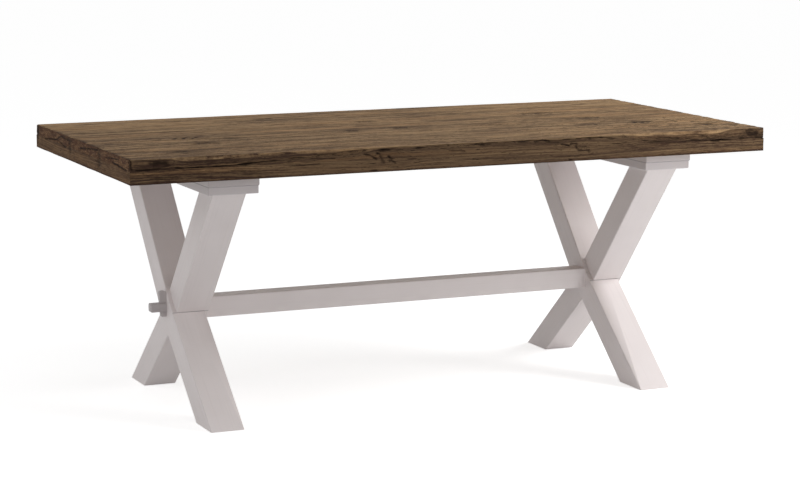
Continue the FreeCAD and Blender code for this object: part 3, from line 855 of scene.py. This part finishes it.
def weathered_oak(oak):
    """Reclaimed oak, brushed and stained brown, left matt. It is made once, and shared.

    The eye gets long bands and streaks of stain, wide on the face and thin on the edges as in flat-sawn
    boards, crossed by thin dark lines and short checks, with near-black splits, dark knots, and year
    rings on the ends. Its gloss is low and broken. Lines and checks are drawn a little coarser than
    real ones, so that they show from across a room.
    """
    name = "weathered oak, brushed and stained"
    if name in bpy.data.materials:
        return bpy.data.materials[name]
    material, add = new_material(name)
    grain = add("Attribute", out="Vector", attribute_name="grain")
    trait = {key: add("Attribute", out="Fac", attribute_name=key) for key in WOOD_TRAITS}
    noise = {}
    for key in ("band", "streak", "fibre", "line", "dash"):
        scaled = add("Mapping", {"Vector": grain, "Scale": getattr(oak, key)}, vector_type="TEXTURE")
        noise[key] = add("TexNoise", {"Vector": scaled, "Scale": 1.0, "Detail": 4.0, "Roughness": 0.7}, "Fac")

    # Bands, streaks, fibres and flecks add up to how far the stain has been rubbed off the wood.
    rubbed = 0.0
    for key, share in (("band", 0.22), ("streak", 0.32), ("fibre", 0.18), ("dash", 0.28)):
        rubbed = add("Math", (noise[key], share, rubbed), operation="MULTIPLY_ADD")
    rubbed = add("MapRange", (rubbed, 0.395, 0.565), clamp=False)
    rubbed = add("Math", (rubbed, trait["contrast"], trait["lift"]), operation="MULTIPLY_ADD", use_clamp=True)
    tone = add("Mix", {SHARE: rubbed, FIRST: oak.dark, SECOND: oak.pale}, **COLOURS)
    redder = add("MapRange", (noise["band"], 0.46, 0.66, 0.0, 0.28), **SMOOTH)
    tone = add("Mix", {SHARE: redder, FIRST: tone, SECOND: oak.warm}, blend_type="SOFT_LIGHT", **COLOURS)

    # End grain drinks more of the stain, and is redder.
    drunk = add("Math", (trait["end"], 0.4), operation="MULTIPLY")

    # Year rings: each darkens towards its late wood, faintly along the grain and plainly on the ends.
    phase = add("Math", (trait["ring"],), operation="FRACT")
    late = add("MapRange", (phase, 0.45, 0.95), **SMOOTH)
    plain = add("Math", (trait["end"], 0.45, 0.15), operation="MULTIPLY_ADD")
    ringed = add("Math", (late, plain), operation="MULTIPLY")

    # Thin dark lines everywhere, and short checks that gather round the knots.
    lined = add("MapRange", (noise["line"], 0.53, 0.61, 0.0, 0.6), **SMOOTH)
    lined = add("Math", (lined, ringed), operation="MAXIMUM")
    gathered = add("Math", (trait["near"], 0.14, noise["dash"]), operation="MULTIPLY_ADD")
    checked = add("MapRange", (gathered, 0.625, 0.70, 0.0, 0.8), **SMOOTH)
    crossed = add("MapRange", (noise["line"], 0.36, 0.56, 0.75, 1.2))
    marked = add("Math", (trait["mark"], crossed), operation="MULTIPLY", use_clamp=True)
    marked = add("Math", (marked, checked), operation="MAXIMUM")
    for share, over in (
            (drunk, oak.end), (lined, oak.dark), (marked, oak.knot), (trait["split"], oak.split)):
        tone = add("Mix", {SHARE: share, FIRST: tone, SECOND: over}, **COLOURS)

    rough = add("MapRange", (noise["fibre"], 0.3, 0.7, 0.92, 0.76))
    height = add("Math", (noise["fibre"], lined), operation="SUBTRACT")
    height = add("Math", (height, checked), operation="SUBTRACT")
    bump = add("Bump", {"Height": height, "Strength": 0.7, "Distance": 0.0012})
    shader = add("BsdfPrincipled", {
        "Base Color": tone, "Roughness": rough, "Normal": bump, "IOR": 1.45, "Specular IOR Level": 0.1})
    add("OutputMaterial", {"Surface": shader})
    return material


def satin_paint(name, paint, base, grain_size, slopes=(0.0,), bend_height=0.0, joint=None, in_painted_shade=None):
    """White satin paint, brushed over planed wood.

    The eye gets an even, faintly warm white, with the wood's long grain just showing as soft lines, a
    low sheen, and a fine grey line where two painted pieces meet, which is painted shade and dust in the
    joint. slopes turns the grain to follow a leg, below and above the height of its bend. joint is a point
    of the joint's line, as distances from the middle, and which of the axes count. The last argument is
    the place along x past which the paint takes the rubbed colour, which is painted shade.
    """
    material, add = new_material(name)
    place = add("TexCoord", out="Object")
    bend = (0, 0, bend_height)
    turned = [
        add("Mapping", {"Vector": place, "Scale": grain_size, "Rotation": (slope, 0, 0), "Location": bend},
            vector_type="TEXTURE")
        for slope in slopes]
    grain = turned[0]
    if len(slopes) > 1:
        above = add("Math", (add("SeparateXYZ", (place,), "Z"), bend_height), operation="GREATER_THAN")
        grain = add("Mix", {SHARE: above, FIRST_VECTOR: turned[0], SECOND_VECTOR: turned[1]}, **VECTORS)
    fine = add("TexNoise", {"Vector": grain, "Scale": 1.0, "Detail": 4.0, "Roughness": 0.6}, "Fac")
    # The clouds in the paint are about 110 mm wide.
    broad = add("TexNoise", {"Vector": place, "Scale": 9.0, "Detail": 2.0}, "Fac")
    sunk = add("MapRange", (fine, 0.5, 0.74, 0.0, 0.22), **SMOOTH)
    clouded = add("MapRange", (broad, 0.3, 0.7, 0.0, 0.25))
    layers = [(sunk, paint.grey), (clouded, paint.grey)]
    # Past this place along x the paint takes the rubbed colour, which is painted shade.
    if in_painted_shade:
        past = add("Math", (add("SeparateXYZ", (place,), "X"), in_painted_shade), operation="LESS_THAN")
        layers.append((past, paint.rubbed))
    # A grey line along the joint: painted shade and dust.
    if joint:
        point, counted = joint
        apart = add("VectorMath", (place,), operation="ABSOLUTE")
        apart = add("VectorMath", (apart, point), operation="SUBTRACT")
        apart = add("VectorMath", (apart, counted), operation="MULTIPLY")
        apart = add("VectorMath", (apart,), "Value", operation="LENGTH")
        joint_shade_and_dust = add("MapRange", (apart, paint.joint_width / 3, paint.joint_width, 0.5, 0.0), **SMOOTH)
        layers.append((joint_shade_and_dust, paint.joint))
    tone = base
    for share, over in layers:
        tone = add("Mix", {SHARE: share, FIRST: tone, SECOND: over}, **COLOURS)
    rough = add("MapRange", (fine, 0.3, 0.7, 0.42, 0.58))
    bump = add("Bump", {"Height": fine, "Strength": 0.12, "Distance": -0.0004})
    shader = add("BsdfPrincipled", {
        "Base Color": tone, "Roughness": rough, "Normal": bump, "IOR": 1.48, "Specular IOR Level": 0.4})
    add("OutputMaterial", {"Surface": shader})
    return material


def planed_pine(bare):
    """Planed pine, left bare: warm straw wood with soft brown late-wood lines along the batten."""
    material, add = new_material("planed pine, bare")
    place = add("TexCoord", out="Object")
    size = (bare.pine_ring, bare.pine_length, bare.pine_ring)
    scaled = add("Mapping", {"Vector": place, "Scale": size}, vector_type="TEXTURE")
    rings = add("TexNoise", {"Vector": scaled, "Scale": 1.0, "Detail": 3.0, "Distortion": 0.4}, "Fac")
    late = add("MapRange", (rings, 0.46, 0.66), **SMOOTH)
    tone = add("Mix", {SHARE: late, FIRST: bare.pine, SECOND: bare.pine_dark}, **COLOURS)
    bump = add("Bump", {"Height": rings, "Strength": 0.3, "Distance": 0.0004})
    shader = add("BsdfPrincipled", {
        "Base Color": tone, "Roughness": 0.62, "Normal": bump, "IOR": 1.48, "Specular IOR Level": 0.35})
    add("OutputMaterial", {"Surface": shader})
    return material


def zinc_plate(bare):
    """Zinc-plated steel: a cool grey metal, slightly dull, with clouds of about a millimetre."""
    material, add = new_material("zinc plated steel")
    place = add("TexCoord", out="Object")
    cloud = add("TexNoise", {"Vector": place, "Scale": 900.0, "Detail": 2.0}, "Fac")
    rough = add("MapRange", (cloud, 0.3, 0.7, 0.28, 0.5))
    shader = add("BsdfPrincipled", {"Base Color": bare.zinc, "Metallic": 1.0, "Roughness": rough})
    add("OutputMaterial", {"Surface": shader})
    return material


def finish_node(name, material, softness=0.0):
    """Give a CAD node its finish, and round its edges by the thickness of the paint."""
    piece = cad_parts[name]
    piece.data.materials.clear()
    piece.data.materials.append(material)
    if softness:
        joined = piece.modifiers.new("joined", "WELD")
        joined.merge_threshold = WELD_REACH
        soft = piece.modifiers.new("soft edges", "BEVEL")
        soft.width = softness
        soft.segments = 2
        soft.limit_method = "ANGLE"
        soft.angle_limit = SHARP
        soft.harden_normals = True


class LayPlanks(bpy.types.Operator):
    """Lay the five planks of weathered oak"""
    bl_idname = "sawbuck.lay_planks"
    bl_label = "Lay the planks"

    def execute(self, context):
        oak = context.scene.table_looks.oak
        for number in range(1, len(PLANKS) + 1):
            lay_plank(number, oak, weathered_oak(oak))
        return {"FINISHED"}


class FitEdgeStrips(bpy.types.Operator):
    """Fit the four mitred strips that thicken the edge of the top"""
    bl_idname = "sawbuck.fit_edge_strips"
    bl_label = "Fit the edge strips"

    def execute(self, context):
        oak = context.scene.table_looks.oak
        for side in SIDES:
            fit_edge_strip(side, oak, weathered_oak(oak))
        return {"FINISHED"}


def leg_lines(paint):
    """The slopes of a leg below and above its bend, and the place across and up of the lap's crease.

    A leg of width w runs from the floor's corner to the bend and on to the rail's corner. Over a rise h
    and a run r its slope is atan(h / r) + asin(w / 2 / hypot(r, h)). Its two stretches meet in a mitre,
    and the crease is where the lower edge of one leg meets the upper edge of the other.
    """
    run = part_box("left_front_leg")[1].y
    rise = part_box("left_rail")[0].z - paint.bend_height
    half = paint.leg_width / 2
    rises = (paint.bend_height, rise)
    lower, upper = (math.atan(h / run) + math.asin(half / math.hypot(run, h)) for h in rises)
    mitre = half / math.cos((upper - lower) / 2)
    across = mitre * math.sin((upper + lower) / 2)
    up = mitre * math.cos((upper + lower) / 2)
    down_slope = 2 * up / (math.sin(lower) + math.cos(lower) * math.tan(upper))
    across += down_slope * math.cos(lower)
    up -= down_slope * math.sin(lower)
    return lower, upper, (0, across, paint.bend_height + up)


class PaintLegs(bpy.types.Operator):
    """Paint the four legs of the two X frames"""
    bl_idname = "sawbuck.paint_legs"
    bl_label = "Paint the legs"

    def execute(self, context):
        paint = context.scene.table_looks.paint
        size = (paint.grain_width, paint.grain_length, paint.grain_width)
        lower, upper, crease = leg_lines(paint)
        # The lap's crease gets the grey joint line of painted shade and dust.
        lap = (crease, (0, 1, 1))
        for foot, rising, sign in (("front", "back", 1), ("back", "front", -1)):
            material = satin_paint(
                f"white satin paint, legs rising to the {rising}", paint, paint.white, size,
                (sign * lower, sign * upper), paint.bend_height, lap)
            for side in ("left", "right"):
                finish_node(f"{side}_{foot}_leg", material, paint.softness)
        return {"FINISHED"}


class PaintBoards(bpy.types.Operator):
    """Paint the rails and the boards over them"""
    bl_idname = "sawbuck.paint_boards"
    bl_label = "Paint the rails and boards"

    def execute(self, context):
        paint = context.scene.table_looks.paint
        size = (paint.grain_width, paint.grain_length, paint.grain_width)
        # The seam between rail and board gets the grey joint line of painted shade and dust.
        seam = ((0, 0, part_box("left_rail")[1].z), (0, 0, 1))
        # The rails and boards are painted in the greyer white, which is painted shade under the top.
        material = satin_paint("white satin paint, boards", paint, paint.boards_painted_shade, size, joint=seam)
        for side in ("left", "right"):
            finish_node(f"{side}_rail", material, paint.softness / 2)
            finish_node(f"{side}_top_board", material, paint.softness / 2)
        return {"FINISHED"}


class PaintStretcher(bpy.types.Operator):
    """Paint the stretcher and its tusk wedge"""
    bl_idname = "sawbuck.paint_stretcher"
    bl_label = "Paint the stretcher and tusk"

    def execute(self, context):
        paint = context.scene.table_looks.paint
        along = (paint.grain_length, paint.grain_width, paint.grain_width)
        upright = (paint.grain_width, paint.grain_width, paint.grain_length / 4)
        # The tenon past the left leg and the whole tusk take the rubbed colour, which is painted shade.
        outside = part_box("left_front_leg")[0].x
        barred = satin_paint("white satin paint, stretcher", paint, paint.white, along, in_painted_shade=outside)
        rubbed = satin_paint("white satin paint, handled", paint, paint.rubbed, upright)
        finish_node("stretcher", barred, paint.softness / 2)
        finish_node("tusk_wedge", rubbed, paint.softness / 2)
        return {"FINISHED"}


class FinishHidden(bpy.types.Operator):
    """Finish the battens, the loose tongues and the screws under the top"""
    bl_idname = "sawbuck.finish_hidden"
    bl_label = "Finish battens and screws"

    def execute(self, context):
        bare = context.scene.table_looks.bare
        pine = planed_pine(bare)
        zinc = zinc_plate(bare)
        finish_node("plank_splines", pine)
        for side in ("left", "right"):
            finish_node(f"{side}_batten", pine)
            finish_node(f"{side}_top_screws", zinc)
        return {"FINISHED"}


def seen_directly(add):
    """1 where a surface is seen by the camera, in gloss or through glass, and 0 elsewhere."""
    seen = 0.0
    for ray in ("Is Camera Ray", "Is Glossy Ray", "Is Transmission Ray"):
        seen = add("Math", (seen, add("LightPath", out=ray)), operation="MAXIMUM")
    return seen


def lay_floor(scene, stage):
    """A plain pale floor. Seen directly it is white, and it keeps the table's shadow."""
    material, add = new_material("pale floor")
    matt = add("BsdfDiffuse", {"Color": stage.floor})
    part = add("BsdfDiffuse", {"Color": [stage.floor_seen] * 3 + [1]})
    glow = add("Emission", {"Color": WHITE, "Strength": stage.floor_glow})
    white = add("AddShader", (part, glow))
    mixed = add("MixShader", (seen_directly(add), matt, white))
    add("OutputMaterial", {"Surface": mixed})
    corners = [(FLOOR_REACH * x, FLOOR_REACH * y, 0) for x, y in ((-1, -1), (1, -1), (1, 1), (-1, 1))]
    mesh = bpy.data.meshes.new("floor")
    mesh.from_pydata(corners, [], [(0, 1, 2, 3)])
    mesh.materials.append(material)
    floor = bpy.data.objects.new("floor", mesh)
    scene.collection.objects.link(floor)


def light_stage(scene, stage):
    """An even white surround, a soft key lamp high at the right, and two soft fills."""
    world = bpy.data.worlds.new("white surround")
    scene.world = world
    world.use_nodes = True
    world.node_tree.nodes.clear()
    add = partial(add_node, world.node_tree)
    strength = add("MapRange", (seen_directly(add), 0.0, 1.0, stage.ambient, 1.0))
    surround = add("Background", {"Color": WHITE, "Strength": strength})
    add("OutputWorld", {"Surface": surround})
    for name, size, place, target in LAMPS:
        light = bpy.data.lights.new(name, "AREA")
        light.energy = getattr(stage, name.replace(" ", "_"))
        light.size = size
        lamp = bpy.data.objects.new(name, light)
        lamp.location = place
        lamp.rotation_euler = (Vector(target) - lamp.location).to_track_quat("-Z", "Y").to_euler()
        lamp.visible_camera = False
        scene.collection.objects.link(lamp)


class SetStage(bpy.types.Operator):
    """Set the floor, the lamps and the camera"""
    bl_idname = "sawbuck.set_stage"
    bl_label = "Set the stage"

    def execute(self, context):
        scene = context.scene
        stage = scene.table_looks.stage
        scene.view_settings.view_transform = "Standard"
        lay_floor(scene, stage)
        light_stage(scene, stage)
        eye = bpy.data.cameras.new("camera")
        eye.lens = stage.lens
        eye.sensor_width = FRAME_WIDTH
        eye.clip_end = FAR
        camera = bpy.data.objects.new("camera", eye)
        camera.location = stage.camera_place
        camera.rotation_euler = (math.pi / 2 - stage.camera_pitch, 0, -stage.camera_yaw)
        scene.collection.objects.link(camera)
        scene.camera = camera
        return {"FINISHED"}


class TablePanel(bpy.types.Panel):
    """Lists the steps that dress the table"""
    bl_idname = "VIEW3D_PT_sawbuck_table"
    bl_label = "Sawbuck table"
    bl_space_type = "VIEW_3D"
    bl_region_type = "UI"
    bl_category = "Table"

    def draw(self, context):
        for step in STEPS:
            self.layout.operator(step.bl_idname)


STEPS = (LayPlanks, FitEdgeStrips, PaintLegs, PaintBoards, PaintStretcher, FinishHidden, SetStage)
CLASSES = (OakTopSettings, PaintSettings, BareSettings, StageSettings, TableLooks) + STEPS + (TablePanel,)


def register():
    for kind in CLASSES:
        bpy.utils.register_class(kind)
    bpy.types.Scene.table_looks = PointerProperty(type=TableLooks)


def unregister():
    del bpy.types.Scene.table_looks
    for kind in reversed(CLASSES):
        bpy.utils.unregister_class(kind)


def main():
    register()
    bpy.ops.sawbuck.lay_planks()
    bpy.ops.sawbuck.fit_edge_strips()
    bpy.ops.sawbuck.paint_legs()
    bpy.ops.sawbuck.paint_boards()
    bpy.ops.sawbuck.paint_stretcher()
    bpy.ops.sawbuck.finish_hidden()
    bpy.ops.sawbuck.set_stage()


if __name__ == "__main__":
    main()
